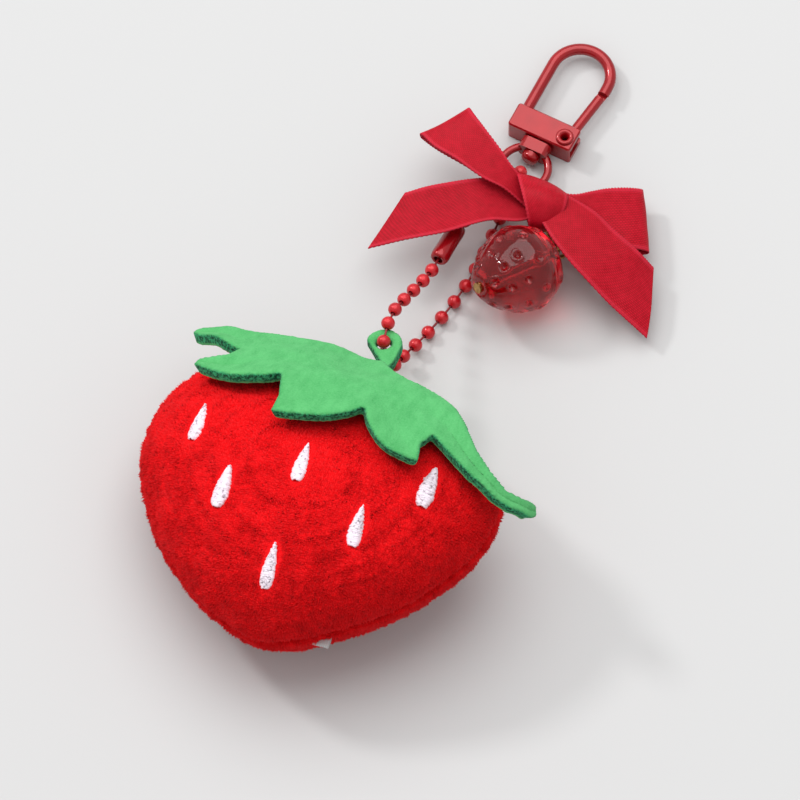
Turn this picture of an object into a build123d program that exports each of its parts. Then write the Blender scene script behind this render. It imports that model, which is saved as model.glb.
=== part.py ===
"""Plush strawberry keychain: plush charm, ball chain, ribbon bow, berry bead and swivel clasp.

Millimetres. +Y runs from the berry's tip to the clasp, +Z is up, and the part lies on its back on
z = 0, with the origin under the middle of its bounding box.
"""
from build123d import *
from math import cos, radians, sin
import os

# plush berry, in its own frame: y from the tip, z from the seam plane between the two panels
berry_length = 57.5
berry_half_width = 33.4
berry_half_depth = 15.0
berry_x = -5.3
berry_top_y = -10.7
berry_seam_z = 15.7
berry_roll = 8.0
pile_wall = 1.5
stuffing_clearance = 0.1
tip_power, top_power = 0.68, 0.42
depth_tip_power, depth_top_power = 0.5, 0.45
section_stations = (0.012, 0.05, 0.12, 0.22, 0.34, 0.48, 0.62, 0.74, 0.84, 0.92, 0.97, 0.993)

# felt leaves, cut from a sheet that domes over the top of the berry
felt_thickness = 2.0
leaf_clearance = 0.4
leaf_centre_below_top = 19.5
leaf_half_span = 37.4
leaf_half_height = 22.8
leaf_skirt = 3.0
tab_width = 6.2
tab_top_margin = 5.2
tab_root = 5.0
tab_drop = 1.5
tab_slope = 12.0
tab_hole_play = 0.7
tab_x = 0.8
tab_hole_lift = 0.2

# embroidered seeds and the care label
seed_length = 7.4
seed_width = 2.6
seed_proud = 0.6
seed_clearance = 0.05
seed_places = ((-21.5, 33.3), (21.5, 33.3), (-12.5, 22.0), (12.5, 22.0), (0.0, 29.8), (0.0, 10.5))
label_width = 6.0
label_length = 5.0
label_corner = 0.6
label_thickness = 0.4
label_y = 4.4
label_x = 9.5

# ball chain
ball_diameter = 2.4
ball_wall = 0.25
ball_hole = 0.84
link_diameter = 0.4
link_head = 0.5
hole_ball_rise = 1.3
connector_length = 8.6
connector_play = 0.2
connector_wall = 0.35
connector_end_play = 0.25

# clasp, in its own frame: origin in the middle of the base, y towards the hook's top
clasp_x, clasp_y = 5.4, 49.4
clasp_turn = -7.0
base_width = 12.0
base_depth = 4.7
base_height = 4.5
base_edge = 0.5
rod_diameter = 2.0
hook_half_width = 5.25
hook_middle = 0.55
hook_shoulder = 12.7
nose_reach = 1.6
gate_pin_x, gate_pin_y = 4.1, -0.35
gate_pin_diameter = 1.6
gate_pin_bore = 1.0
gate_pin_head = 3.0
gate_pin_head_height = 0.3
gate_eye_diameter = 3.0
gate_thickness = 1.4
gate_slot = 2.3
gate_slot_inset = 1.0
gate_slot_clearance = 0.15
spring_wire = 0.35
swivel_gap = 0.3
rivet_diameter = 1.8
rivet_head_diameter = 3.1
rivet_head_height = 1.5

# swivel ring
ring_outer_diameter = 9.8
ring_wire = 1.4
boss_width = 5.4
boss_depth = 2.2
boss_height = 3.6
boss_inset = 0.5
bore_clearance = 0.12

# ribbon bow
ribbon_width = 9.5
ribbon_thickness = 0.5
bow_x, bow_y, bow_z = 10.4, 34.5, 8.6
knot_length = 6.6
knot_width = 7.8
knot_height = 4.2
loop_height = 3.8
right_loop_height = 3.0
tail_root_share = 0.7

# berry bead, its eye pin and the links that hang it
bead_diameter = 15.3
bead_length = 15.8
bead_x, bead_y = 10.7, 19.4
bead_turn = 55.0
bead_droop = 17.0
bead_bore = 1.3
pin_wire = 0.8
eye_diameter = 3.2
bead_link_count = 3
bead_link_width = 3.6
bead_link_gap = 0.15
bead_link_seat = -50.0

# sizes that follow from the ones above
berry_tip_y = berry_top_y - berry_length
leaf_centre_y = berry_length - leaf_centre_below_top
tab_hole_diameter = ball_diameter + tab_hole_play
connector_width = ball_diameter + connector_play + 2 * connector_wall

os.makedirs("parts", exist_ok=True)


def save(part, name):
    part.label = name
    export_step(part, f"parts/{name}.step")


def swell(station, tip, top):
    """A share of the full size at a station from 0 at the tip to 1 at the top, 1 at the widest."""
    widest = tip / (tip + top)
    return station**tip * (1 - station) ** top / (widest**tip * (1 - widest) ** top)


# ---------------------------------------------------------------- plush berry
berry = Plane(
    origin=(berry_x, berry_tip_y, berry_seam_z),
    x_dir=(cos(radians(berry_roll)), 0, sin(radians(berry_roll))),
    z_dir=(-sin(radians(berry_roll)), 0, cos(radians(berry_roll))),
)


def berry_station(y):
    """The plane across the berry at y, with its own x along the seam plane and its y along the depth."""
    return Plane(origin=berry.from_local_coords((0, y, 0)), x_dir=berry.x_dir, z_dir=-berry.y_dir)


def berry_body(grow):
    """The berry as one solid, moved out by grow all round."""
    with BuildPart() as body:
        for station in section_stations:
            y = station * (berry_length + 2 * grow) - grow
            half_width = berry_half_width * swell(station, tip_power, top_power) + grow
            half_depth = berry_half_depth * swell(station, depth_tip_power, depth_top_power) + grow
            with BuildSketch(berry_station(y)):
                Ellipse(max(half_width, 0.6), max(half_depth, 0.6))
        loft()
    return body.part


outer_body = berry_body(0)
inner_body = berry_body(-pile_wall)

with BuildPart() as front_panel:
    add(outer_body)
    add(inner_body, mode=Mode.SUBTRACT)
    split(bisect_by=berry, keep=Keep.TOP)
save(front_panel.part, "front_panel")

with BuildPart() as back_panel:
    add(outer_body)
    add(inner_body, mode=Mode.SUBTRACT)
    split(bisect_by=berry, keep=Keep.BOTTOM)
save(back_panel.part, "back_panel")

save(berry_body(-pile_wall - stuffing_clearance), "stuffing")

# seeds stand on the front panel as thin pads, pointed towards the top
with BuildSketch() as seed_outline:
    with BuildLine():
        foot = (0, -seed_length / 2)
        point = (0, seed_length / 2)
        right = (seed_width / 2, -seed_length / 6)
        left = (-seed_width / 2, -seed_length / 6)
        Spline(point, right, foot)
        Spline(foot, left, point)
    make_face()

with BuildPart() as seeds:
    add(berry_body(seed_proud))
    add(berry_body(seed_clearance), mode=Mode.SUBTRACT)
    with BuildSketch(berry):
        with Locations(*seed_places):
            add(seed_outline.sketch)
    extrude(amount=2 * berry_half_depth, mode=Mode.INTERSECT)
save(seeds.part, "front_seeds")

# the label is sewn into the seam near the tip and lies along the berry's underside
label_plane = berry.offset(-label_thickness / 2)
label_middle = label_plane.from_local_coords((label_x, label_y, 0))
with BuildPart() as care_label:
    with BuildSketch(Plane(label_middle, berry.x_dir, berry.z_dir)):
        RectangleRounded(label_width, label_length, label_corner)
    extrude(amount=label_thickness)
    add(outer_body, mode=Mode.SUBTRACT)
save(care_label.part.solids().sort_by(SortBy.VOLUME)[-1], "care_label")


# ---------------------------------------------------------------- felt leaves
def leaf_dome(grow):
    """The dome that a leaf is cut from, moved out by grow."""
    depth = berry_half_depth + leaf_clearance + grow
    span = leaf_half_span - felt_thickness + grow
    height = leaf_half_height - felt_thickness + grow
    centre = Plane(berry.from_local_coords((0, leaf_centre_y, 0)), berry.x_dir, berry.z_dir)
    return centre * scale(Sphere(1, mode=Mode.PRIVATE), by=(span, height, depth), mode=Mode.PRIVATE)


# leaf outline from the tab round the right side, as (x, y) from the dome's centre
leaf_right = ((9.0, 16.0), (18.0, 13.0), (24.5, 8.0), (29.5, 2.5), (36.3, -1.2), (36.0, -3.4))
leaf_right_under = ((30.0, -3.4), (24.0, -0.6), (19.8, 2.0), (19.6, -3.6), (13.0, -3.4), (8.6, 1.6))
leaf_left_under = ((4.6, -0.4), (-7.0, -3.2), (-7.2, 4.6), (-16.5, 2.6), (-23.2, 3.6), (-17.8, 9.4))
leaf_left = ((-26.4, 10.2), (-28.6, 13.0), (-26.4, 15.2), (-13.0, 16.6), (-4.0, 17.0))
leaf_outline = leaf_right + leaf_right_under + leaf_left_under + leaf_left
tab_top = leaf_centre_y + leaf_half_height + tab_top_margin
tab_hole_y = tab_top - tab_width / 2 + tab_hole_lift
tab_rise = tab_top - leaf_centre_y
tab_corners = ((tab_x - tab_width / 2, tab_rise), (tab_x + tab_width / 2, tab_rise))
leaf_base = Plane(berry.from_local_coords((0, leaf_centre_y, 0)), berry.x_dir, berry.z_dir)
tab_plane = Plane(berry.from_local_coords((tab_x, tab_hole_y, -tab_drop)), berry.x_dir, berry.z_dir)
tab_plane = tab_plane.rotated((-tab_slope, 0, 0))

with BuildPart() as front_leaf:
    add(leaf_dome(felt_thickness))
    add(leaf_dome(0), mode=Mode.SUBTRACT)
    with BuildSketch(leaf_base.offset(-leaf_skirt)):
        Polygon(*leaf_outline, *tab_corners, align=None)
    extrude(amount=2 * berry_half_depth, mode=Mode.INTERSECT)
    with BuildSketch(tab_plane.offset(-felt_thickness / 2)):
        Circle(tab_width / 2)
        with Locations((0, -tab_root / 2)):
            Rectangle(tab_width, tab_root)
    extrude(amount=felt_thickness)
    with BuildSketch(tab_plane.offset(-felt_thickness)):
        Circle(tab_hole_diameter / 2)
    extrude(amount=2 * felt_thickness, mode=Mode.SUBTRACT)
save(front_leaf.part, "front_leaf")

# the back leaf lies close on the back panel and stops at the front leaf's skirt
back_leaf_outline = ((25.0, 20.0), (20.5, 6.0), (13.0, 12.0), (7.5, 4.5), (0.0, 11.0))
back_leaf_outline += ((-7.5, 4.5), (-13.0, 12.0), (-20.5, 6.0), (-25.0, 20.0))
with BuildPart() as back_leaf:
    add(berry_body(leaf_clearance + felt_thickness / 2))
    add(berry_body(leaf_clearance), mode=Mode.SUBTRACT)
    with BuildSketch(leaf_base.offset(-leaf_skirt - leaf_clearance)):
        Polygon(*back_leaf_outline, align=None)
    extrude(amount=-2 * berry_half_depth, mode=Mode.INTERSECT)
save(back_leaf.part, "back_leaf")


# ---------------------------------------------------------------- clasp
clasp = Plane((clasp_x, clasp_y, base_height / 2), (cos(radians(clasp_turn)), sin(radians(clasp_turn)), 0))
clasp_across = Plane(clasp.from_local_coords((0, -base_depth / 2, 0)), clasp.x_dir, -clasp.y_dir)
left_leg_x = hook_middle - hook_half_width
nose_x = hook_middle + hook_half_width
nose_y = hook_shoulder - nose_reach
hook_crown = (hook_middle, hook_shoulder + hook_half_width)
gate_pivot = Plane(clasp.from_local_coords((gate_pin_x, gate_pin_y, 0)), clasp.x_dir, clasp.z_dir)

with BuildPart() as clasp_frame:
    with BuildSketch(clasp.offset(-base_height / 2)):
        Rectangle(base_width, base_depth)
    extrude(amount=base_height)
    fillet(clasp_frame.edges().filter_by(Axis.Z), base_edge)
    chamfer(clasp_frame.faces().sort_by(Axis.Z)[-1].edges(), base_edge / 2)
    with BuildLine(clasp) as hook_line:
        Line((left_leg_x, 0), (left_leg_x, hook_shoulder))
        ThreePointArc((left_leg_x, hook_shoulder), hook_crown, (nose_x, hook_shoulder))
        Line((nose_x, hook_shoulder), (nose_x, nose_y))
    with BuildSketch(Plane(hook_line.line @ 0, clasp.x_dir, clasp.y_dir)):
        Circle(rod_diameter / 2)
    sweep(path=hook_line.line)
    # half lap at the nose, and the slot that the gate turns in
    with BuildSketch(clasp):
        with Locations((nose_x, nose_y)):
            Rectangle(2 * rod_diameter, nose_reach)
    extrude(amount=-rod_diameter, mode=Mode.SUBTRACT)
    with BuildSketch(clasp.offset(-gate_slot / 2)):
        with Locations((gate_slot_inset, gate_pin_y - gate_eye_diameter / 2 - gate_slot_clearance)):
            Rectangle(base_width, base_depth, align=(Align.MIN, Align.MIN))
    extrude(amount=gate_slot, mode=Mode.SUBTRACT)
    with BuildSketch(gate_pivot):
        Circle(gate_pin_diameter / 2)
    extrude(amount=base_height, both=True, mode=Mode.SUBTRACT)
    with BuildSketch(clasp_across):
        Circle(rivet_diameter / 2)
    extrude(amount=-base_depth / 3, mode=Mode.SUBTRACT)
save(clasp_frame.part, "clasp_frame")

# the pin is flush underneath and has a rolled head on top
with BuildPart() as gate_pin:
    with BuildSketch(gate_pivot.offset(-base_height / 2)):
        Circle(gate_pin_diameter / 2)
    extrude(amount=base_height)
    with BuildSketch(gate_pivot.offset(base_height / 2)):
        Circle(gate_pin_head / 2)
    extrude(amount=gate_pin_head_height)
    fillet(gate_pin.faces().sort_by(Axis.Z)[-1].edges(), gate_pin_head_height / 2)
    with BuildSketch(gate_pivot):
        Circle(gate_pin_bore / 2)
    extrude(amount=base_height, both=True, mode=Mode.SUBTRACT)
save(gate_pin.part, "gate_pin")

# the gate runs from the pin to the nose and ends in the other half of the lap
gate_run = clasp.from_local_coords((nose_x, nose_y + nose_reach / 2 - bore_clearance, 0)) - gate_pivot.origin
with BuildPart() as clasp_gate:
    with BuildSketch(Plane(gate_pivot.origin, clasp.z_dir.cross(gate_run), gate_run)):
        Circle(rod_diameter / 2 - bore_clearance)
    extrude(amount=gate_run.length)
    with BuildSketch(clasp.offset(-bore_clearance)):
        with Locations((nose_x, nose_y)):
            Rectangle(3 * rod_diameter, nose_reach + 2 * bore_clearance)
    extrude(amount=rod_diameter, mode=Mode.SUBTRACT)
    with BuildSketch(gate_pivot.offset(-gate_thickness / 2)):
        Circle(gate_eye_diameter / 2)
    extrude(amount=gate_thickness)
    with BuildSketch(clasp.offset(gate_thickness / 2)):
        Rectangle(2 * base_width, base_depth + 2 * bore_clearance)
    extrude(amount=rod_diameter, mode=Mode.SUBTRACT)
    with BuildSketch(clasp.offset(-gate_thickness / 2)):
        Rectangle(2 * base_width, base_depth + 2 * bore_clearance)
    extrude(amount=-rod_diameter, mode=Mode.SUBTRACT)
    with BuildSketch(gate_pivot):
        Circle(gate_pin_diameter / 2 + bore_clearance)
    extrude(amount=rod_diameter, both=True, mode=Mode.SUBTRACT)
save(clasp_gate.part, "clasp_gate")

# one turn of spring wire round the pin, between the gate's eye and the upper cheek
spring_level = (gate_thickness + gate_slot) / 4
with BuildPart() as gate_spring:
    with Locations(gate_pivot.offset(spring_level)):
        Torus(gate_pin_diameter / 2 + spring_wire, spring_wire / 2)
save(gate_spring.part, "gate_spring")

# the swivel rivet: shank through the ring's boss and a domed head inside the ring
boss_top = swivel_gap
boss_bottom = boss_top + boss_depth
with BuildPart() as swivel_rivet:
    with BuildSketch(clasp_across.offset(-base_depth / 3)):
        Circle(rivet_diameter / 2)
    extrude(amount=base_depth / 3 + boss_bottom + bore_clearance)
    with BuildSketch(clasp_across.offset(boss_bottom + bore_clearance)):
        Circle(rivet_head_diameter / 2)
    extrude(amount=rivet_head_height)
    head_face = swivel_rivet.faces().sort_by(Axis(clasp.origin, -clasp.y_dir))[-1]
    fillet(head_face.edges(), rivet_head_height * 0.6)
save(swivel_rivet.part, "swivel_rivet")

ring_radius = (ring_outer_diameter - ring_wire) / 2
ring_centre_y = -base_depth / 2 - boss_bottom + ring_wire - ring_outer_diameter / 2 + boss_inset
ring_centre = clasp.from_local_coords((0, ring_centre_y, 0))
with BuildPart() as swivel_ring:
    with Locations(Plane(ring_centre, clasp.x_dir, clasp.z_dir)):
        Torus(ring_radius, ring_wire / 2)
    with BuildSketch(clasp_across.offset(boss_top)):
        RectangleRounded(boss_width, boss_height, boss_height / 3)
    extrude(amount=boss_depth)
    with BuildSketch(clasp_across):
        Circle(rivet_diameter / 2 + bore_clearance)
    extrude(amount=boss_bottom + ring_wire, mode=Mode.SUBTRACT)
save(swivel_ring.part, "swivel_ring")


# ---------------------------------------------------------------- ball chain
# ball centres, from the ball in the tab's hole: the left strand up to the connector, the short run
# from the connector over the ring's wire, and the right strand down to the table and under the wire
rest = ball_diameter / 2
tab_hole = tab_plane.from_local_coords((0, 0, hole_ball_rise))
ring_foot = clasp.from_local_coords((0, ring_centre_y - ring_radius, 0))
left_strand = [(-5.0, -1.2, 15.5), (-5.0, 2.3, 14.3), (-4.5, 5.5, 12.5), (-3.9, 8.6, 10.7), (-3.3, 11.7, 9.1)]
left_strand += [(-2.8, 14.8, 7.7)]
left_strand = [tab_hole] + [Vector(*point) for point in left_strand]
connector_foot = Vector(-2.6, 17.4, 7.0)
connector_top = Vector(-1.9, 25.6, 4.9)
connector_run = connector_top - connector_foot
end_ball_inset = ball_diameter / 2 + connector_wall + connector_end_play
end_balls = [connector_foot + connector_run.normalized() * end_ball_inset]
end_balls += [connector_top - connector_run.normalized() * end_ball_inset]
over_wire = [Vector(-1.3, 27.4, 4.4), Vector(0.4, 30.5, 4.2), Vector(1.9, 33.6, 4.2)]
over_wire += [ring_foot + Vector(-0.4, -0.9, 2.2), ring_foot + Vector(0.5, 2.3, 1.8)]
right_strand = [(-4.4, -5.2, 11.5), (-4.1, -4.6, 8.1), (-3.0, -3.3, 5.0), (-2.5, -0.3, 3.1), (-1.5, 3.0, 1.9)]
right_strand += [(-0.4, 6.4, rest), (0.8, 9.9, rest), (1.8, 13.5, rest), (2.6, 17.1, rest), (3.1, 20.7, rest)]
right_strand += [(3.4, 24.3, rest), (3.6, 27.9, rest), (3.7, 31.5, rest)]
right_strand = [Vector(*point) for point in right_strand]
right_strand += [Vector(ring_foot.X - 0.2, ring_foot.Y - 1.95, rest)]
right_strand += [Vector(ring_foot.X, ring_foot.Y + 1.95, rest)]

# the chain bends at one ball of each strand
left_bend, right_bend = 3, 4


def ball_chain_balls(runs):
    """Hollow balls, each with a hole towards each neighbour, from runs of (centre, neighbours)."""
    with BuildPart() as balls:
        for centre, neighbours in runs:
            with Locations(centre):
                Sphere(ball_diameter / 2)
                Sphere(ball_diameter / 2 - ball_wall, mode=Mode.SUBTRACT)
            for neighbour in neighbours:
                with BuildSketch(Plane(centre, z_dir=neighbour - centre)):
                    Circle(ball_hole / 2)
                extrude(amount=ball_diameter / 2 + link_diameter / 2, mode=Mode.SUBTRACT)
    return balls.part


def ball_chain_links(pairs):
    """Dumbbell links, each from inside one ball to inside the next."""
    with BuildPart() as links:
        for start, end in pairs:
            along = (end - start).normalized()
            inset = ball_diameter / 2 - ball_wall - link_head / 2 - ball_wall
            first = start + along * inset
            last = end - along * inset
            with BuildSketch(Plane(first, z_dir=along)):
                Circle(link_diameter / 2)
            extrude(amount=(last - first).length)
            with Locations(first, last):
                Sphere(link_head / 2)
    return links.part


def neighbours_in(strand):
    """Each ball of a strand with the balls beside it."""
    return [(ball, strand[max(i - 1, 0) : i] + strand[i + 1 : i + 2]) for i, ball in enumerate(strand)]


def steps(strand):
    return list(zip(strand[:-1], strand[1:]))


left_run = left_strand + end_balls[:1]
over_run = end_balls[1:] + over_wire
right_run = [tab_hole] + right_strand
left_balls = neighbours_in(left_run)
over_balls = neighbours_in(over_run)
right_balls = neighbours_in(right_run)
hole_ball = (tab_hole, [left_run[1], right_run[1]])

# the last ball over the wire and the last ball under it are beside each other in the ring
crown_top, crown_foot = over_run[-1], right_run[-1]
over_balls[-1] = (crown_top, [over_run[-2], crown_foot])
right_balls[-1] = (crown_foot, [right_run[-2], crown_top])

lower_balls = [hole_ball] + left_balls[1 : left_bend + 1] + right_balls[1 : right_bend + 2]
save(ball_chain_balls(lower_balls), "lower_chain_balls")
lower_links = steps(left_run[: left_bend + 1]) + steps(right_run[: right_bend + 2])
save(ball_chain_links(lower_links), "lower_chain_links")
upper_balls = left_balls[left_bend + 1 :] + over_balls + right_balls[right_bend + 2 :]
save(ball_chain_balls(upper_balls), "upper_chain_balls")
upper_links = steps(left_run[left_bend:]) + steps(over_run) + steps(right_run[right_bend + 1 :])
save(ball_chain_links(upper_links + [(crown_top, crown_foot)]), "upper_chain_links")

# the connector is a sleeve folded from sheet, with a ball held at each end
sleeve = Plane(connector_foot, z_dir=connector_run)
with BuildPart() as chain_connector:
    with BuildSketch(sleeve):
        RectangleRounded(connector_width, connector_width, connector_width / 4)
    extrude(amount=connector_run.length)
    with BuildSketch(sleeve.offset(connector_wall)):
        Circle(connector_width / 2 - connector_wall)
    extrude(amount=connector_run.length - 2 * connector_wall, mode=Mode.SUBTRACT)
    with BuildSketch(sleeve):
        Circle(ball_hole)
    extrude(amount=connector_run.length, mode=Mode.SUBTRACT)
save(chain_connector.part, "chain_connector")


# ---------------------------------------------------------------- ribbon bow
def ribbon_plane(start, end):
    """A plane with x along a ribbon from start to end, y across it on the level, z out of its face."""
    along = (Vector(*end) - Vector(*start)).normalized()
    across = Vector(0, 0, 1).cross(along).normalized()
    return Plane(Vector(*start), along, along.cross(across))


def ribbon_tail(start, end, cut):
    """A flat tail from start to end, its end cut off at a slant by cut on each side."""
    plane = ribbon_plane(start, end)
    length = (Vector(*end) - Vector(*start)).length
    half = ribbon_width / 2
    root = half * tail_root_share
    with BuildPart() as tail:
        with BuildSketch(plane.offset(-ribbon_thickness / 2)):
            Polygon((0, -root), (length - cut, -half), (length + cut, half), (0, root), align=None)
        extrude(amount=ribbon_thickness)
    return tail.part


def ribbon_loop(start, end, height):
    """A loop of ribbon from start to its fold at end: a flat tube, narrow at the knot."""
    plane = ribbon_plane(start, end)
    length = (Vector(*end) - Vector(*start)).length
    side = Plane(plane.origin, plane.x_dir, -plane.y_dir)
    with BuildPart() as loop:
        with BuildSketch(side):
            with Locations((length / 2, 0)):
                Ellipse(length / 2, height / 2)
                Ellipse(length / 2 - ribbon_thickness, height / 2 - ribbon_thickness, mode=Mode.SUBTRACT)
        extrude(amount=ribbon_width / 2, both=True)
    return loop.part


knot_foot = Plane((bow_x, bow_y, bow_z - knot_height / 2), clasp.x_dir, clasp.z_dir)
with BuildPart() as ribbon_bow:
    with BuildSketch(knot_foot):
        RectangleRounded(knot_length, knot_width, knot_length / 4)
    extrude(amount=knot_height)
    fillet(ribbon_bow.faces().sort_by(Axis.Z)[-1].edges(), knot_height / 4)
    add(ribbon_loop((bow_x - 1.0, bow_y + 1.2, bow_z), (-8.9, 41.0, 10.2), loop_height))
    add(ribbon_loop((bow_x + 1.0, bow_y + 0.6, bow_z - 0.6), (28.1, 38.3, 4.0), right_loop_height))
    add(ribbon_tail((bow_x - 1.0, bow_y - 0.8, bow_z), (-13.1, 20.2, 9.8), 3.2))
    add(ribbon_tail((bow_x + 1.0, bow_y - 0.6, bow_z + 0.6), (34.1, 24.0, 3.2), 2.6))
save(ribbon_bow.part, "ribbon_bow")


# ---------------------------------------------------------------- berry bead
bead_axis = Vector(cos(radians(bead_turn)), sin(radians(bead_turn)), 0) * cos(radians(bead_droop))
bead_axis -= Vector(0, 0, sin(radians(bead_droop)))
bead_z = bead_diameter / 2 + 0.2
bead = Plane((bead_x, bead_y, bead_z), z_dir=bead_axis)
half_bead = bead_length / 2
tip, cap = (0, -half_bead), (0, half_bead)
bead_flank = (bead_diameter * 0.33, -half_bead * 0.62)
bead_waist = (bead_diameter / 2, half_bead * 0.18)
bead_shoulder = (bead_diameter * 0.36, half_bead * 0.82)

with BuildPart() as berry_bead:
    with BuildSketch(Plane(bead.origin, bead.y_dir, bead.x_dir)):
        with BuildLine():
            Spline(tip, bead_flank, bead_waist, bead_shoulder, cap, tangents=((1, 0), (-1, 0)))
            Line(cap, tip)
        make_face()
    revolve(axis=Axis(bead.origin, bead.z_dir))
    with BuildSketch(bead):
        Circle(bead_bore / 2)
    extrude(amount=bead_length, both=True, mode=Mode.SUBTRACT)
save(berry_bead.part, "berry_bead")

# the pin runs through the bead, with a head at the tip and a level eye beyond the cap
eye_centre = bead.from_local_coords((0, 0, half_bead + pin_wire / 4 + eye_diameter / 2))
eye_face = bead_axis.cross(Vector(0, 0, 1)).cross(bead_axis)
pin_foot = bead.offset(-half_bead - pin_wire / 2)
with BuildPart() as bead_pin:
    with BuildSketch(pin_foot):
        Circle(bead_bore * 0.75)
    extrude(amount=pin_wire / 2)
    with BuildSketch(pin_foot):
        Circle(pin_wire / 2)
    extrude(amount=bead_length + pin_wire)
    with Locations(Plane(eye_centre, z_dir=eye_face)):
        Torus((eye_diameter - pin_wire) / 2, pin_wire / 2)
save(bead_pin.part, "bead_pin")

# oval links from the ring's wire to the eye, each a quarter turn from the next
seat_angle = radians(bead_link_seat)
seat = clasp.from_local_coords(
    (ring_radius * cos(seat_angle), ring_centre_y + ring_radius * sin(seat_angle), 0)
)
link_line = eye_centre - seat
link_along = link_line.normalized()
link_level = Vector(0, 0, 1).cross(link_along).normalized()
eye_radius = (eye_diameter - pin_wire) / 2
wire_step = pin_wire + bead_link_gap
first_step = (ring_wire + pin_wire) / 2 + bead_link_gap
link_pitch = (link_line.length + first_step - eye_radius + bead_link_count * wire_step) / bead_link_count


def oval_link(near, normal):
    """A closed oval of wire whose near end is centred at near along the line of links."""
    plane = Plane(seat + link_along * (near + link_pitch / 2), link_along, normal)
    bend = (bead_link_width - pin_wire) / 2
    with BuildPart() as link:
        with BuildLine(plane) as outline:
            Line((0, bend), (link_pitch / 2 - bend, bend))
            ThreePointArc((link_pitch / 2 - bend, bend), (link_pitch / 2, 0), (link_pitch / 2 - bend, -bend))
            Line((link_pitch / 2 - bend, -bend), (0, -bend))
        with BuildSketch(Plane(outline.line @ 0, plane.y_dir, plane.x_dir)):
            Circle(pin_wire / 2)
        sweep(path=outline.line)
        mirror(about=Plane(plane.origin, z_dir=plane.x_dir))
    return link.part


with BuildPart() as bead_links:
    for number in range(bead_link_count):
        upright = number % 2 == 0
        near = -first_step + number * (link_pitch - wire_step)
        add(oval_link(near, link_level if upright else link_along.cross(link_level)))
save(bead_links.part, "bead_links")
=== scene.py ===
import math
import random

import bmesh
import bpy
from mathutils import Matrix, Vector, noise
from mathutils.bvhtree import BVHTree


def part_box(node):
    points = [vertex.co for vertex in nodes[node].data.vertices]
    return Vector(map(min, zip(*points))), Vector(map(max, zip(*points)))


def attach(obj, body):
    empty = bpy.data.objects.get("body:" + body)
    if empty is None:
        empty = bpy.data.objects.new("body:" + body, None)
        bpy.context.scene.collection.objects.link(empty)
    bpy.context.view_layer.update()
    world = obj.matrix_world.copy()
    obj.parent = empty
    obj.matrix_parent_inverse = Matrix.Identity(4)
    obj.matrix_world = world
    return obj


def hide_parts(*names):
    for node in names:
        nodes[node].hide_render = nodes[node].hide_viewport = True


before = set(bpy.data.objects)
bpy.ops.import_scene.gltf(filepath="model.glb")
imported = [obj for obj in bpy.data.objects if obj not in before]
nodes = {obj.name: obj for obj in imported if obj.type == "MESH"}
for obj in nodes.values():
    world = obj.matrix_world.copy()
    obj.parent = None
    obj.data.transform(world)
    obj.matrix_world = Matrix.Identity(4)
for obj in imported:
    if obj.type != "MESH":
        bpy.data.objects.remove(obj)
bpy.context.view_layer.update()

# Plush strawberry keychain. Lengths in the maker's lists are millimetres in the part's frame and
# are turned to metres by mm.
mm = 0.001
scene = bpy.context.scene
chance = random.Random(20)


# ---------------------------------------------------------------- workshop helpers
def settle(obj):
    """Applies every modifier of a piece."""
    graph = bpy.context.evaluated_depsgraph_get()
    mesh = bpy.data.meshes.new_from_object(obj.evaluated_get(graph))
    obj.modifiers.clear()
    obj.data = mesh
    return obj


def piece(bm, name, smooth=True):
    """A finished object from a bmesh, at the origin."""
    mesh = bpy.data.meshes.new(name)
    bm.to_mesh(mesh)
    bm.free()
    made = bpy.data.objects.new(name, mesh)
    scene.collection.objects.link(made)
    if smooth:
        mesh.shade_smooth()
    return made


def bmesh_of(obj):
    """An editable copy of a piece's mesh."""
    bm = bmesh.new()
    bm.from_mesh(obj.data)
    return bm


def middle(node):
    """The middle of a CAD node's box."""
    low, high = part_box(node)
    return (low + high) / 2


def ease(low, high, value):
    """0 below low, 1 above high, and smooth between."""
    t = min(max((value - low) / (high - low), 0), 1)
    return t * t * (3 - 2 * t)


def through(points, t):
    """A point on a smooth line through the given points, t from 0 to 1."""
    runs = len(points) - 1
    at = min(max(t, 0), 1) * runs
    k = min(int(at), runs - 1)
    u = at - k
    p1, p2 = points[k], points[k + 1]
    p0 = points[k - 1] if k else p1 + (p1 - p2)
    p3 = points[k + 2] if k + 2 <= runs else p2 + (p2 - p1)
    square = 2 * p0 - 5 * p1 + 4 * p2 - p3
    cube = 3 * p1 - p0 - 3 * p2 + p3
    return 0.5 * (2 * p1 + (p2 - p0) * u + square * u**2 + cube * u**3)


def places(*points):
    """Points given in millimetres, in metres."""
    return [Vector(point) * mm for point in points]


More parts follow.
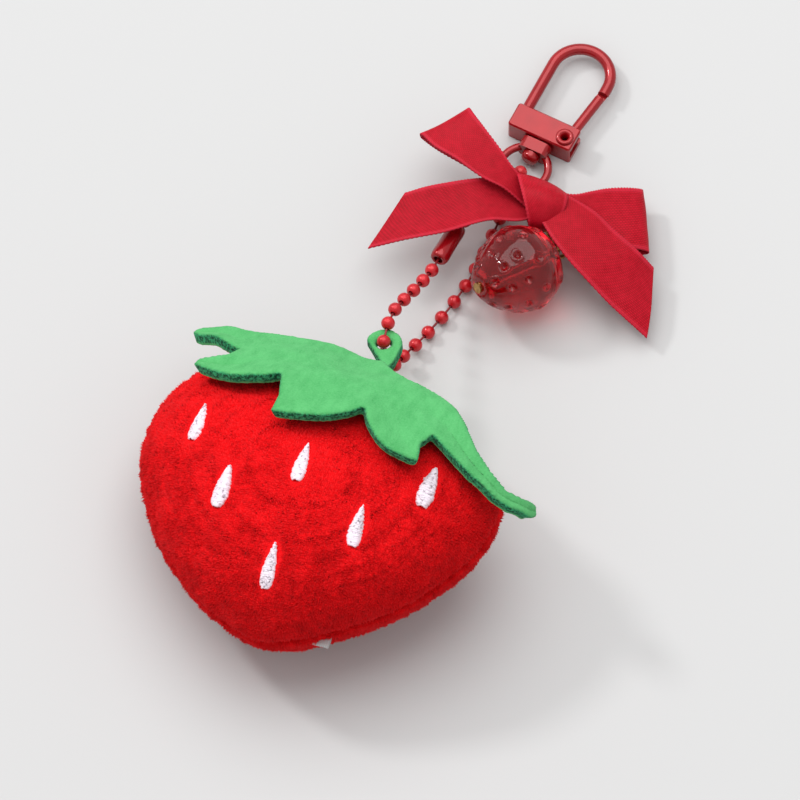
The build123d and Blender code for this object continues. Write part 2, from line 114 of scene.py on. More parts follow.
# ---------------------------------------------------------------- material helpers
class Recipe:
    """A node material for one finish."""

    def __init__(self, name, colour, roughness, **values):
        self.material = bpy.data.materials.new(name)
        self.material.use_nodes = True
        self.tree = self.material.node_tree
        self.shader = self.tree.nodes["Principled BSDF"]
        self.set(Base_Color=(*colour, 1), Roughness=roughness, **values)

    def set(self, **values):
        for key, value in values.items():
            self.shader.inputs[key.replace("_", " ")].default_value = value
        return self

    def node(self, kind, values=(), **settings):
        made = self.tree.nodes.new("ShaderNode" + kind)
        for key, value in settings.items():
            setattr(made, key, value)
        for key, value in dict(values).items():
            if isinstance(value, bpy.types.NodeSocket):
                self.tree.links.new(value, made.inputs[key])
            else:
                made.inputs[key].default_value = value
        return made

    def place(self):
        return self.node("TexCoord").outputs["Object"]

    def speckle(self, scale, detail=3, roughness=0.6, stretch=None, where=None):
        """Noise from 0 to 1 with features about 1/scale metres wide."""
        where = where or self.place()
        if stretch:
            where = self.node("Mapping", {"Vector": where, "Scale": stretch}).outputs[0]
        return self.node(
            "TexNoise", {"Vector": where, "Scale": scale, "Detail": detail, "Roughness": roughness}
        ).outputs["Fac"]

    def spread(self, value, low, high, to_low=0.0, to_high=1.0):
        made = self.node("MapRange", {"Value": value, "From Min": low, "From Max": high,
                                      "To Min": to_low, "To Max": to_high})
        return made.outputs[0]

    def sum(self, kind, a, b):
        return self.node("Math", {0: a, 1: b}, operation=kind).outputs[0]

    def mix(self, share, a, b, kind="MIX"):
        made = self.node("Mix", data_type="RGBA", blend_type=kind)
        for key, value in ((0, share), (6, a), (7, b)):
            if isinstance(value, bpy.types.NodeSocket):
                self.tree.links.new(value, made.inputs[key])
            else:
                made.inputs[key].default_value = (*value, 1) if isinstance(value, tuple) else value
        return made.outputs[2]

    def colour(self, socket):
        self.tree.links.new(socket, self.shader.inputs["Base Color"])

    def rough(self, socket):
        self.tree.links.new(socket, self.shader.inputs["Roughness"])

    def bump(self, height, distance, strength=1.0):
        made = self.node("Bump", {"Height": height, "Distance": distance, "Strength": strength})
        self.tree.links.new(made.outputs[0], self.shader.inputs["Normal"])

    def attribute(self, name):
        return self.node("Attribute", attribute_name=name).outputs["Fac"]


# ---------------------------------------------------------------- finishes
def minky_pile():
    """Short red pile, mottled, with painted shade at the roots and along the seam, so lighter at the tips."""
    made = Recipe("minky_pile", (0.80, 0.006, 0.010), 0.85, Sheen_Weight=0.08, Sheen_Roughness=0.4,
                  Sheen_Tint=(1.0, 0.25, 0.25, 1), Specular_IOR_Level=0.05)
    # the pile attribute: 0 at the tufts' roots, 1 at their heads and less along the seam; it carries painted
    # shade
    depth = made.attribute("pile")
    patches = made.spread(made.speckle(420, 4, 0.65), 0.3, 0.7)
    fibres = made.spread(made.speckle(2600, 2, 0.6), 0.25, 0.75)
    tips = made.mix(patches, (0.88, 0.004, 0.007), (0.97, 0.008, 0.013))
    tips = made.mix(made.sum("MULTIPLY", fibres, 0.35), tips, (1.0, 0.075, 0.08))
    # painted shade: the roots and the seam get the darker red
    made.colour(made.mix(depth, (0.70, 0.002, 0.004), tips))
    made.bump(fibres, 0.0001, 0.35)
    return made.material


def felt_cloth():
    """Green velour with a napped face and a darker, flecked cut edge."""
    made = Recipe("leaf_velour", (0.12, 0.52, 0.17), 0.9, Sheen_Weight=0.12, Sheen_Roughness=0.5,
                  Sheen_Tint=(0.6, 1.0, 0.7, 1), Specular_IOR_Level=0.05)
    nap = made.spread(made.speckle(500, 4, 0.6, stretch=(1.0, 0.35, 1.0)), 0.3, 0.7)
    fibres = made.spread(made.speckle(3000, 2, 0.7), 0.3, 0.7)
    face = made.mix(nap, (0.056, 0.33, 0.095), (0.098, 0.44, 0.145))
    face = made.mix(made.sum("MULTIPLY", fibres, 0.4), face, (0.15, 0.52, 0.205))
    flecks = made.spread(made.speckle(1900, 2, 0.8), 0.42, 0.62)
    cut = made.mix(flecks, (0.002, 0.045, 0.022), (0.035, 0.36, 0.15))
    made.colour(made.mix(made.attribute("cut_edge"), face, cut))
    made.bump(made.sum("ADD", fibres, nap), 0.00012, 0.6)
    return made.material


def seed_floss():
    """White embroidery floss, its strands running across each seed."""
    made = Recipe("seed_floss", (0.83, 0.74, 0.82), 0.45, Sheen_Weight=0.3, Sheen_Roughness=0.4)
    along = made.node("UVMap").outputs[0]
    strands = made.speckle(26, 3, 0.7, stretch=(0.25, 6.0, 1.0), where=along)
    # painted shade: purplish pink in the gaps between the floss strands
    shade = made.spread(strands, 0.35, 0.6)
    made.colour(made.mix(shade, (0.66, 0.54, 0.64), (0.90, 0.82, 0.89)))
    made.bump(strands, 0.00006, 0.6)
    return made.material


def label_tape():
    made = Recipe("label_tape", (0.62, 0.60, 0.60), 0.6, Sheen_Weight=0.2)
    where = made.place()
    warp = made.node("TexWave", {"Vector": where, "Scale": 900.0, "Distortion": 0.4}, bands_direction="X")
    weft = made.node("TexWave", {"Vector": where, "Scale": 900.0, "Distortion": 0.4}, bands_direction="Y")
    weave = made.sum("MULTIPLY", warp.outputs["Fac"], weft.outputs["Fac"])
    made.colour(made.mix(weave, (0.34, 0.33, 0.33), (0.48, 0.46, 0.46)))
    made.bump(weave, 0.00005, 0.6)
    return made.material


def red_satin():
    """Red satin ribbon: stepped floats in the weave and lighter loops along the selvedges."""
    made = Recipe("red_satin", (0.42, 0.004, 0.016), 0.42, Anisotropic=0.5, Specular_IOR_Level=0.10)
    floats = {
        "Vector": made.node("UVMap").outputs[0],
        "Scale": 1000.0, "Brick Width": 0.56, "Row Height": 0.28, "Mortar Size": 0.13, "Mortar Smooth": 1.0,
        "Color1": (1, 1, 1, 1), "Color2": (0.72, 0.72, 0.72, 1), "Mortar": (0, 0, 0, 1),
    }
    weave = made.node("TexBrick", floats, offset=0.5).outputs["Color"]
    slub = made.spread(made.speckle(700, 3, 0.6), 0.3, 0.7)
    picot = made.attribute("selvedge")
    base = made.mix(weave, (0.22, 0.0015, 0.006), (0.56, 0.006, 0.022))
    base = made.mix(made.sum("MULTIPLY", slub, 0.25), base, (0.68, 0.014, 0.036))
    made.colour(made.mix(made.sum("MULTIPLY", picot, 0.35), base, (0.78, 0.045, 0.085)))
    made.rough(made.spread(slub, 0, 1, 0.36, 0.5))
    made.bump(made.node("RGBToBW", {0: weave}).outputs[0], 0.00006, 0.55)
    return made.material


def red_enamel(name="red_enamel", colour=(0.34, 0.003, 0.007), roughness=0.20):
    made = Recipe(name, colour, roughness, Metallic=0.25, Coat_Weight=0.3, Coat_Roughness=0.05,
                  Specular_IOR_Level=0.4)
    pool = made.spread(made.speckle(260, 2, 0.5), 0.3, 0.7)
    ripple = made.speckle(420, 1, 0.4)
    deep = tuple(c * 0.80 for c in colour)
    made.colour(made.mix(pool, deep, colour))
    made.rough(made.spread(pool, 0, 1, roughness * 0.85, roughness * 1.15))
    made.bump(ripple, 0.00004, 0.15)
    return made.material


def gilt_pin():
    made = Recipe("gilt_pin", (0.55, 0.33, 0.10), 0.22, Metallic=1.0)
    worn = made.spread(made.speckle(900, 3, 0.6), 0.35, 0.7)
    made.colour(made.mix(worn, (0.30, 0.15, 0.05), (0.55, 0.34, 0.12)))
    made.rough(made.spread(worn, 0, 1, 0.35, 0.18))
    return made.material


def berry_acrylic():
    made = Recipe("berry_acrylic", (0.55, 0.010, 0.016), 0.03, Transmission_Weight=0.94, IOR=1.45,
                  Specular_IOR_Level=0.3)
    haze = made.spread(made.speckle(240, 2, 0.5), 0.3, 0.7)
    made.colour(made.mix(haze, (0.50, 0.006, 0.012), (0.72, 0.022, 0.032)))
    made.rough(made.spread(haze, 0, 1, 0.02, 0.06))
    return made.material


def spring_steel():
    made = Recipe("spring_steel", (0.55, 0.54, 0.52), 0.3, Metallic=1.0)
    drawn = made.speckle(2400, 2, 0.6)
    made.rough(made.spread(drawn, 0.3, 0.7, 0.22, 0.4))
    return made.material


def white_fibre():
    made = Recipe("white_fibre", (0.8, 0.8, 0.78), 0.95, Sheen_Weight=0.3)
    wisps = made.speckle(600, 5, 0.7)
    made.colour(made.mix(wisps, (0.62, 0.62, 0.6), (0.85, 0.85, 0.83)))
    made.bump(wisps, 0.0003, 0.6)
    return made.material


MINKY, LEAF, FLOSS, TAPE = minky_pile(), felt_cloth(), seed_floss(), label_tape()
SATIN, ENAMEL, GILT, ACRYLIC = red_satin(), red_enamel(), gilt_pin(), berry_acrylic()
CHAIN_RED = red_enamel("chain_red", (0.58, 0.008, 0.016), 0.34)
LINK_RED = red_enamel("link_red", (0.22, 0.006, 0.010), 0.42)
STEEL, FIBRE = spring_steel(), white_fibre()


def dress(obj, material):
    """Gives a piece or a CAD node its finish."""
    if obj.material_slots:
        for slot in obj.material_slots:
            slot.material = material
    else:
        obj.data.materials.append(material)
    return obj


# ---------------------------------------------------------------- the berry's own frame
# x across, y from the tip to the top, z out of the seam plane, tilted a little to the left
BERRY_ROLL = math.radians(8)
panel_low = Vector(map(min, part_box("front_panel")[0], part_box("back_panel")[0]))
panel_high = Vector(map(max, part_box("front_panel")[1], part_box("back_panel")[1]))
# the panels' first and last sections, as shares of the berry's length
FIRST_STATION, LAST_STATION = 0.012, 0.993
BERRY_LENGTH = (panel_high.y - panel_low.y) / (LAST_STATION - FIRST_STATION)
BERRY_HALF_WIDTH, BERRY_HALF_DEPTH = 33.4 * mm, 15.0 * mm
WIDTH_TIP, WIDTH_TOP = 0.68, 0.42
DEPTH_TIP, DEPTH_TOP = 0.5, 0.45
# the front is drawn in where the leaf's tab is sewn on, and the right shoulder falls away
TAB_X = 0.8 * mm
GATHER, GATHER_REACH = 0.38, 6.5 * mm
SHOULDER_FALL = 0.17
berry_origin = Vector((
    (panel_low.x + panel_high.x) / 2,
    panel_low.y - FIRST_STATION * BERRY_LENGTH,
    (panel_low.z + panel_high.z) / 2,
))
BERRY = Matrix.Translation(berry_origin) @ Matrix.Rotation(-BERRY_ROLL, 4, "Y")


def gathered(x, y):
    """What is left of the front's height where it is drawn in at the tab, as a share."""
    return 1 - GATHER * math.exp(-((x - TAB_X) / GATHER_REACH) ** 2) * ease(46 * mm, 58 * mm, y)


def swell(station, tip, top):
    """A share of the full size at a station from 0 at the tip to 1 at the top, 1 at the widest."""
    station = min(max(station, 0.0), 1.0)
    widest = tip / (tip + top)
    return station**tip * (1 - station) ** top / (widest**tip * (1 - widest) ** top)


# ---------------------------------------------------------------- plush berry
PILE = 1.0 * mm
SEAM_REACH, SEAM_DEPTH = 0.70 * mm, 1.3 * mm
# SEAM_SHADE is the painted shade on the pile along the seam; SEAM_TRIM shortens the pile there
SEAM_SHADE, SEAM_TRIM = 0.85, 0.5
FILLING_LUMPS, WEAVE_SHIFT = 0.45 * mm, 0.11
SEEDS = ((-21.0, 34.4), (21.5, 33.4), (-12.0, 23.0), (12.8, 22.2), (0.0, 30.2), (0.5, 11.6))
SEED_LENGTH, SEED_WIDTH = 7.4 * mm, 2.7 * mm


def berry_blank(shrink):
    """The two sewn panels as one closed form, moved in by shrink."""
    thinnest = 0.2 * mm
    bm = bmesh.new()
    bmesh.ops.create_uvsphere(bm, u_segments=72, v_segments=48, radius=1.0)
    for v in bm.verts:
        station = (1 + v.co.z) / 2
        round_it = math.hypot(v.co.x, v.co.y) or 1.0
        half_width = BERRY_HALF_WIDTH * swell(station, WIDTH_TIP, WIDTH_TOP) - shrink
        half_depth = BERRY_HALF_DEPTH * swell(station, DEPTH_TIP, DEPTH_TOP) - shrink
        if v.co.x > 0:
            half_width *= 1 - SHOULDER_FALL * ease(0.66, 0.86, station)
        x = v.co.x / round_it * max(half_width, thinnest)
        y = shrink + station * (BERRY_LENGTH - 2 * shrink)
        z = v.co.y / round_it * max(half_depth, thinnest)
        v.co = Vector((x, y, z * gathered(x, y) if z > 0 else z))
    bmesh.ops.recalc_face_normals(bm, faces=bm.faces)
    return bm


def puffed(obj, bench=10.0, furthest=1.0 * mm):
    """Blows a sewn form up with cloth under pressure, at bench times its size, its seam held still."""
    mesh = obj.data
    seam_half, frames = 1.1 * mm, 20
    start = [v.co.copy() for v in mesh.vertices]
    held = obj.vertex_groups.new(name="sewn")
    held.add([v.index for v in mesh.vertices if abs(v.co.z) < seam_half], 1.0, "REPLACE")
    mesh.transform(Matrix.Scale(bench, 4))
    cloth = obj.modifiers.new("puff", "CLOTH")
    cloth.settings.quality = 5
    cloth.settings.use_pressure = True
    cloth.settings.uniform_pressure_force = 4
    cloth.settings.effector_weights.gravity = 0
    cloth.settings.vertex_group_mass = "sewn"
    cloth.collision_settings.use_collision = False
    cloth.point_cache.frame_start, cloth.point_cache.frame_end = 1, frames
    for step in range(1, frames + 1):
        scene.frame_set(step)
    moved = obj.evaluated_get(bpy.context.evaluated_depsgraph_get()).data
    ends = [v.co / bench for v in moved.vertices]
    obj.modifiers.clear()
    obj.vertex_groups.clear()
    scene.frame_set(1)
    for v, first, last in zip(mesh.vertices, start, ends):
        move = last - first
        v.co = first + move * (furthest / (move.length + furthest))
    return obj


def fibre_filling():
    """The lumpy ball of fibre that the panels are sewn round."""
    inside, lumps = 3.4 * mm, 0.8 * mm
    bm = berry_blank(inside)
    bmesh.ops.subdivide_edges(bm, edges=bm.edges, cuts=1, use_grid_fill=True)
    bm.normal_update()
    for v in bm.verts:
        v.co += v.normal * noise.fractal(v.co * 160, 1.0, 2.0, 3) * lumps
    bm.transform(BERRY)
    made = piece(bm, "fibre_filling")
    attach(dress(made, FIBRE), "strawberry")
    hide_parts("stuffing")


def seed_near(x, y):
    """0 on a seed and 1 clear of every seed, for a point of the front panel."""
    nearest = 1.0
    for sx, sy in SEEDS:
        across = (x - sx * mm) / (SEED_WIDTH * 0.55)
        along = (y - sy * mm) / (SEED_LENGTH * 0.55)
        nearest = min(nearest, ease(0.95, 1.35, math.hypot(across, along)))
    return nearest


def plush_core():
    """The cloth under the pile, evenly meshed and blown up tight."""
    under_pile = cell = 1.3 * mm
    core = piece(berry_blank(under_pile), "plush_core")
    remesh = core.modifiers.new("even", "REMESH")
    remesh.mode, remesh.voxel_size = "VOXEL", cell
    settle(core)
    puffed(core)
    finer = core.modifiers.new("finer", "SUBSURF")
    finer.levels = finer.render_levels = 2
    return settle(core)


def in_seam(z):
    """1 on the seam between the panels, fading to 0 beside it."""
    return math.exp(-((z / SEAM_REACH) ** 2))


def plush_berry():
    """The berry with its pile as small leaning tufts. Returns the cloth that other pieces are sewn to."""
    core = plush_core()
    bm = bmesh_of(core)
    bpy.data.objects.remove(core)
    bm.normal_update()
    # the seam is a narrow valley all round, and the filling is a little lumpy
    for v in bm.verts:
        lump = noise.noise(v.co * 90) * FILLING_LUMPS
        valley = in_seam(v.co.z) * SEAM_DEPTH
        v.co += v.normal * (lump - valley)
        v.co += Vector([chance.uniform(-WEAVE_SHIFT, WEAVE_SHIFT) * mm for _ in range(3)])
    bm.normal_update()
    base = BVHTree.FromBMesh(bm)
    pile_shade_layer = bm.verts.layers.float.new("pile")
    heads = bmesh.ops.poke(bm, faces=bm.faces)["verts"]
    bm.normal_update()
    for v in heads:
        seam = in_seam(v.co.z)
        # painted shade: the tufts' heads are darkened along the seam, and their roots stay at 0
        v[pile_shade_layer] = 1 - SEAM_SHADE * seam
        out = v.normal.copy()
        clump = noise.noise(v.co * 700)
        long = PILE * (0.62 + 0.45 * clump) * chance.uniform(0.75, 1.2) * (1 - SEAM_TRIM * seam)
        # the stitches hold the pile down round the seeds, and the rest is brushed towards the tip
        if v.co.z > 0:
            long *= 0.12 + 0.88 * seed_near(v.co.x, v.co.y)
        drift = noise.noise_vector(v.co * 260) * 0.75 + Vector((0.0, -0.35, 0.0))
        drift += Vector([chance.uniform(-0.3, 0.3) for _ in range(3)])
        drift -= out * drift.dot(out)
        v.co += (out + drift * 0.8).normalized() * long
    bm.transform(BERRY)
    for v in bm.verts:
        v.co.z = max(v.co.z, 0.03 * mm)
    made = piece(bm, "plush_berry")
    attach(dress(made, MINKY), "strawberry")
    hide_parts("front_panel", "back_panel")
    return base


def stitched_seeds(base):
    """Satin-stitched pads pressed into the front panel, in rows of floss across each seed."""
    bm = bmesh.new()
    rows = 22
    sunk, crown_height, floss_ridge = 0.25 * mm, 0.80 * mm, 0.12 * mm
    above, down = 60 * mm, Vector((0, 0, -1))
    for sx, sy in SEEDS:
        lean = math.radians(chance.uniform(-2, 4))
        made = bmesh.ops.create_grid(bm, x_segments=10, y_segments=rows * 4, size=0.5, calc_uvs=True)["verts"]
        wobble = [chance.uniform(-0.10, 0.10) for _ in range(rows + 1)]
        for v in made:
            across, along = v.co.x * 2, v.co.y + 0.5
            row = min(int(along * rows), rows - 1)
            ridge = abs(math.sin(math.pi * along * rows))
            half = SEED_WIDTH / 2 * (swell(along * 0.97 + 0.015, 0.34, 0.85) + wobble[row] * 0.6)
            shift = wobble[row] * 0.22 * mm
            x = across * half + shift
            y = (along - 0.5) * SEED_LENGTH
            crown = math.sqrt(max(1 - across**2, 0))
            x, y = x * math.cos(lean) - y * math.sin(lean), x * math.sin(lean) + y * math.cos(lean)
            x, y = x + sx * mm, y + sy * mm
            cloth_at, cloth_out = base.ray_cast(Vector((x, y, above)), down)[:2]
            v.co = cloth_at + cloth_out * (crown * (crown_height + floss_ridge * ridge) - sunk)
    bmesh.ops.recalc_face_normals(bm, faces=bm.faces)
    bm.transform(BERRY)
    made = piece(bm, "stitched_seeds")
    body = made.modifiers.new("body", "SOLIDIFY")
    body.thickness, body.offset = 0.2 * mm, -1
    settle(made)
    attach(dress(made, FLOSS), "strawberry")
    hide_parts("front_seeds")


def folded_label():
    """A short blank tape folded over, its ends caught in the seam."""
    low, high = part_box("care_label")
    wide, long = (high.x - low.x) * 0.6, high.y - low.y
    # sewn in a little to the right, and hanging under the seam
    sewn = Vector(((low.x + high.x) / 2 + 0.8 * mm, low.y + 3.3 * mm, (low.z + high.z) / 2 - 1.6 * mm))
    bm = bmesh.new()
    bmesh.ops.create_grid(bm, x_segments=12, y_segments=48, size=0.5, calc_uvs=True)
    fold = 0.35 * mm
    for v in bm.verts:
        across, along = v.co.x * wide, v.co.y * 2
        # the tape runs out, turns at the fold and runs back underneath
        if abs(along) < 0.2:
            turn = along / 0.2 * math.pi / 2
            out, up = fold * math.cos(turn), fold * math.sin(turn)
        else:
            out, up = -(abs(along) - 0.2) / 0.8 * long, math.copysign(fold, along)
        wave = 0.2 * mm * math.sin(across / wide * 5)
        v.co = sewn + Vector((across, -out, up + wave))
    bmesh.ops.recalc_face_normals(bm, faces=bm.faces)
    made = piece(bm, "folded_label")
    body = made.modifiers.new("body", "SOLIDIFY")
    body.thickness, body.offset = 0.16 * mm, 0
    settle(made)
    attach(dress(made, TAPE), "strawberry")
    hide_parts("care_label")


# ---------------------------------------------------------------- felt leaves
# the form that the felt is laid over, and the tab's hole, in the berry's frame
LEAF_CENTRE = Vector((0, 32.0)) * mm
LEAF_SPAN, LEAF_HEIGHT = 37.0 * mm, 26.5 * mm
FRONT_DEPTH, BACK_DEPTH = 16.0 * mm, 15.6 * mm
FRONT_FELT, BACK_FELT = 2.1 * mm, 1.2 * mm
FRONT_CURL, BACK_CURL, CURL_REACH = 1.6 * mm, 0.0, 7 * mm
TAB_Y, TAB_DROP, TAB_SLOPE = 63.1 * mm, 1.5 * mm, math.radians(12)
TAB_HALF, TAB_BORE = 3.2 * mm, 1.36 * mm
# where the tab's hole is in the flat felt, and where its root starts to turn out
TAB_FLAT, TAB_ROOT = 72.2 * mm, 61 * mm
# each flat cut, as (x, y, bow of the side that follows), the front one round from the tab's right foot
FRONT_CUT = (
    (4.1, 66.5, 0.0), (4.9, 63.0, -0.2), (6.6, 60.0, -0.2), (9.6, 57.0, 0.0), (12.8, 55.2, 0.1),
    (16.7, 54.4, 0.2), (21.2, 52.4, 0.2), (24.6, 49.2, 0.1), (27.8, 45.5, 0.0), (31.0, 42.4, 0.0),
    (35.2, 39.6, -0.1), (40.5, 38.0, -0.1), (46.8, 39.0, 0.1), (53.0, 41.3, 0.4), (54.6, 39.4, 0.4),
    (50.0, 36.4, -0.1), (44.0, 35.0, 0.0), (38.5, 35.0, 0.0), (31.2, 36.6, 0.0), (25.9, 38.9, 0.0),
    (20.9, 41.4, 0.2), (19.5, 38.6, 0.0), (20.2, 35.0, 0.2), (17.8, 34.7, 0.1), (14.2, 35.2, 0.2),
    (11.0, 37.0, 0.1), (8.7, 39.4, 0.1), (7.5, 42.0, 0.2), (5.6, 39.6, 0.1), (2.4, 37.9, 0.1),
    (-3.2, 36.6, 0.1), (-7.2, 36.1, 0.1), (-7.3, 39.5, 0.0), (-9.0, 44.6, 0.1), (-11.8, 43.1, 0.1),
    (-17.4, 42.4, 0.1), (-23.4, 43.4, 0.1), (-28.4, 45.4, 0.4), (-27.2, 47.2, -0.1), (-22.6, 48.6, -0.2),
    (-23.2, 53.4, 0.0), (-28.0, 54.8, -0.1), (-35.0, 57.6, 0.1), (-39.2, 59.6, 0.5), (-38.0, 61.6, 0.2),
    (-28.0, 61.6, 0.2), (-21.4, 63.4, 0.1), (-12.7, 62.8, 0.1), (-8.6, 62.6, 0.0), (-5.6, 63.0, -0.1),
    (-3.6, 64.4, -0.1), (-2.6, 66.8, 0.0),
)
BACK_CUT = (
    (22.5, 58.5, 0.2), (22.8, 45.4, 0.3), (14.6, 51.0, 0.3), (7.8, 42.3, 0.3), (0.0, 49.2, 0.3),
    (-7.8, 42.3, 0.3), (-14.6, 51.0, 0.3), (-22.8, 45.4, 0.2), (-22.5, 58.5, 0.5), (0.0, 64.0, 0.5),
)


def cut_line(cut):
    """The flat outline, each side bowed out a little."""
    line = []
    for (x, y, bow), (next_x, next_y, _) in zip(cut, cut[1:] + cut[:1]):
        side = Vector((next_x - x, next_y - y))
        out = Vector((-side.y, side.x)).normalized()
        steps = max(2, round(side.length / 0.8))
        for k in range(steps):
            t = k / steps
            at = Vector((x, y)) + side * t + out * bow * 4 * t * (1 - t)
            line.append(at * mm)
    return line


def flat_blank(name, lines, thick, voxel):
    """Felt cut flat to the outlines, the inner ones as holes, and meshed evenly."""
    curve = bpy.data.curves.new(name, "CURVE")
    curve.dimensions, curve.fill_mode, curve.extrude = "2D", "BOTH", thick / 2
    for line in lines:
        spline = curve.splines.new("POLY")
        spline.points.add(len(line) - 1)
        for point, at in zip(spline.points, line):
            point.co = (at.x, at.y, 0, 1)
        spline.use_cyclic_u = True
    drawn = bpy.data.objects.new(name + "_line", curve)
    scene.collection.objects.link(drawn)
    graph = bpy.context.evaluated_depsgraph_get()
    mesh = bpy.data.meshes.new_from_object(drawn.evaluated_get(graph))
    bpy.data.objects.remove(drawn)
    made = bpy.data.objects.new(name, mesh)
    scene.collection.objects.link(made)
    remesh = made.modifiers.new("even", "REMESH")
    remesh.mode, remesh.voxel_size = "VOXEL", voxel
    return settle(made)


def area_of(line):
    """The area inside a closed line."""
    return abs(sum(a.x * b.y - a.y * b.x for a, b in zip(line, line[1:] + line[:1]))) / 2


def on_berry(x, y, side, depth):
    """Where a point of the flat leaf comes to lie. The left points run out straight past the berry."""
    bends_left, bends_right = 0.96, 0.96 + 0.79
    at = Vector((x, y)) - LEAF_CENTRE
    turn = math.hypot(at.x / LEAF_SPAN, at.y / LEAF_HEIGHT)
    way = Vector((at.x / LEAF_SPAN, at.y / LEAF_HEIGHT)) / max(turn, 1e-6)
    to_the_right = ease(-5 * mm, 15 * mm, x) if side > 0 else 1
    bent = min(turn, bends_left + (bends_right - bends_left) * to_the_right)
    out = math.sin(bent) + (turn - bent) * math.cos(bent)
    up = math.cos(bent) - (turn - bent) * math.sin(bent)
    spot = Vector((LEAF_SPAN * out * way.x, LEAF_CENTRE.y + LEAF_HEIGHT * out * way.y, side * depth * up))
    if side > 0 and spot.z > 0:
        spot.z *= gathered(spot.x, spot.y)
    return spot


def round_the_hole(radius, turns):
    """Points of the flat felt on a circle about the tab's hole."""
    middle_of_tab = Vector((TAB_X, TAB_FLAT))
    return [middle_of_tab + radius * Vector((math.cos(turn), math.sin(turn))) for turn in turns]


def laid_leaf(name, cut, tabbed, thick, side, depth, curl):
    """A leaf cut flat and laid over the berry, with its flat size and area."""
    lines = [cut_line(cut)]
    if tabbed:
        end = round_the_hole(TAB_HALF, [math.pi * (1 - k / 24) for k in range(25)])
        hole = round_the_hole(TAB_BORE, [math.tau * k / 32 for k in range(32)])
        lines = [end + lines[0], hole]
    made = flat_blank(name, lines, thick, 0.36 * mm)
    bm = bmesh_of(made)
    edge = bm.verts.layers.float.new("cut_edge")
    for v in bm.verts:
        v[edge] = 1 - ease(0.3, 0.8, abs(v.normal.z))
    flat_edges = [v for v in bm.verts if v[edge] > 0.5]
    rim = BVHTree.FromPolygons([v.co.xy.to_3d() for v in flat_edges] or [Vector()],
                               [(k, k, k) for k in range(len(flat_edges))])

    def middle_of_felt(x, y):
        """The felt stands off the berry at its free edges and waves a little; the tab runs out level."""
        flat_spot = Vector((x, y, 0))
        near = rim.find_nearest(flat_spot, CURL_REACH)
        inside = near[3] if near[0] is not None else CURL_REACH
        free = max(1 - ease(47 * mm, 55 * mm, y), ease(22 * mm, 32 * mm, -x))
        stand = curl * free * (1 - inside / CURL_REACH) ** 1.5 + noise.noise(flat_spot * 120) * 0.4 * mm
        spot = on_berry(x, y, side, depth)
        out = Vector((spot.x / LEAF_SPAN**2, (spot.y - LEAF_CENTRE.y) / LEAF_HEIGHT**2, spot.z / depth**2))
        spot += out.normalized() * stand
        if tabbed and y > TAB_ROOT:
            slope = Matrix.Rotation(-TAB_SLOPE, 3, "X")
            tab_spot = Vector((TAB_X, TAB_Y, -TAB_DROP)) + slope @ Vector((x - TAB_X, y - TAB_FLAT, 0))
            near_tab = 1 - ease(4 * mm, 9 * mm, abs(x - TAB_X))
            spot = spot.lerp(tab_spot, ease(TAB_ROOT, 70 * mm, y) * near_tab)
        return spot

    beside = 0.5 * mm
    for v in bm.verts:
        x, y, up = v.co
        fuzz = noise.noise(v.co * 2300) * 0.10 * mm + chance.uniform(-0.05, 0.05) * mm
        across = middle_of_felt(x + beside, y) - middle_of_felt(x - beside, y)
        along = middle_of_felt(x, y + beside) - middle_of_felt(x, y - beside)
        out = across.cross(along).normalized() * side
        v.co = middle_of_felt(x, y) + out * (up * side + math.copysign(fuzz, up * side))
    bmesh.ops.recalc_face_normals(bm, faces=bm.faces)
    bm.transform(BERRY)
    for v in bm.verts:
        v.co.z = max(v.co.z, 0.02 * mm)
    mesh = made.data
    bm.to_mesh(mesh)
    bm.free()
    mesh.shade_smooth()
    xs, ys = [p.x for p in lines[0]], [p.y for p in lines[0]]
    return made, (max(ys) - min(ys), max(xs) - min(xs)), area_of(lines[0])


def felt_leaves():
    """The front leaf with its tab, and the plain one on the back."""
    front, flat, area = laid_leaf(
        "front_felt_leaf", FRONT_CUT, True, FRONT_FELT, 1, FRONT_DEPTH, FRONT_CURL)
    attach(dress(front, LEAF), "strawberry")
    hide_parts("front_leaf")
    back, flat, area = laid_leaf("back_felt_leaf", BACK_CUT, False, BACK_FELT, -1, BACK_DEPTH, BACK_CURL)
    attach(dress(back, LEAF), "strawberry")
    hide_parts("back_leaf")


# ---------------------------------------------------------------- ribbon bow
RIBBON = 9.5 * mm
RIBBON_THICK = 0.22 * mm
PICOT_PITCH = 0.62 * mm


def strip(bm, near, far, crown=0.35, cut=0.0):
    """A length of ribbon between two edge lines given in millimetres, crowned across by crown.

    UVs are metres along and across, and the selvedges are scalloped."""
    near, far = places(*near), places(*far)
    long = sum((b - a).length for a, b in zip(near, near[1:]))
    columns = max(int(long / (PICOT_PITCH / 4)), 24)
    rows = 26
    edge = bm.verts.layers.float.get("selvedge") or bm.verts.layers.float.new("selvedge")
    uv = bm.loops.layers.uv.verify()
    grid = bmesh.ops.create_grid(bm, x_segments=columns, y_segments=rows, size=0.5, calc_uvs=True)["verts"]
    for face in {f for v in grid for f in v.link_faces}:
        for loop in face.loops:
            loop[uv].uv = (loop[uv].uv.x * long, loop[uv].uv.y * RIBBON)
    for v in grid:
        along, across = v.co.x + 0.5, v.co.y + 0.5
        a, b = through(near, along), through(far, along)
        ahead = through(near, min(along + 0.02, 1)) + through(far, min(along + 0.02, 1))
        behind = through(near, max(along - 0.02, 0)) + through(far, max(along - 0.02, 0))
        out = (ahead - behind).cross(b - a).normalized()
        bend = crown * mm * 4 * across * (1 - across)
        close = min(across, 1 - across) * RIBBON
        v[edge] = 1 - ease(0.25 * mm, 0.6 * mm, close)
        scallop = abs(math.sin(math.pi * along * long / PICOT_PITCH))
        push = (b - a).normalized() * (0.16 * mm * scallop * (1 - ease(0, 0.5 * mm, close)))
        v.co = a.lerp(b, across) + out * (bend + v[edge] * scallop * 0.06 * mm)
        v.co += push * (1 if across > 0.5 else -1)
        v.co += out * noise.noise(v.co * 160) * 0.35 * mm
    return grid


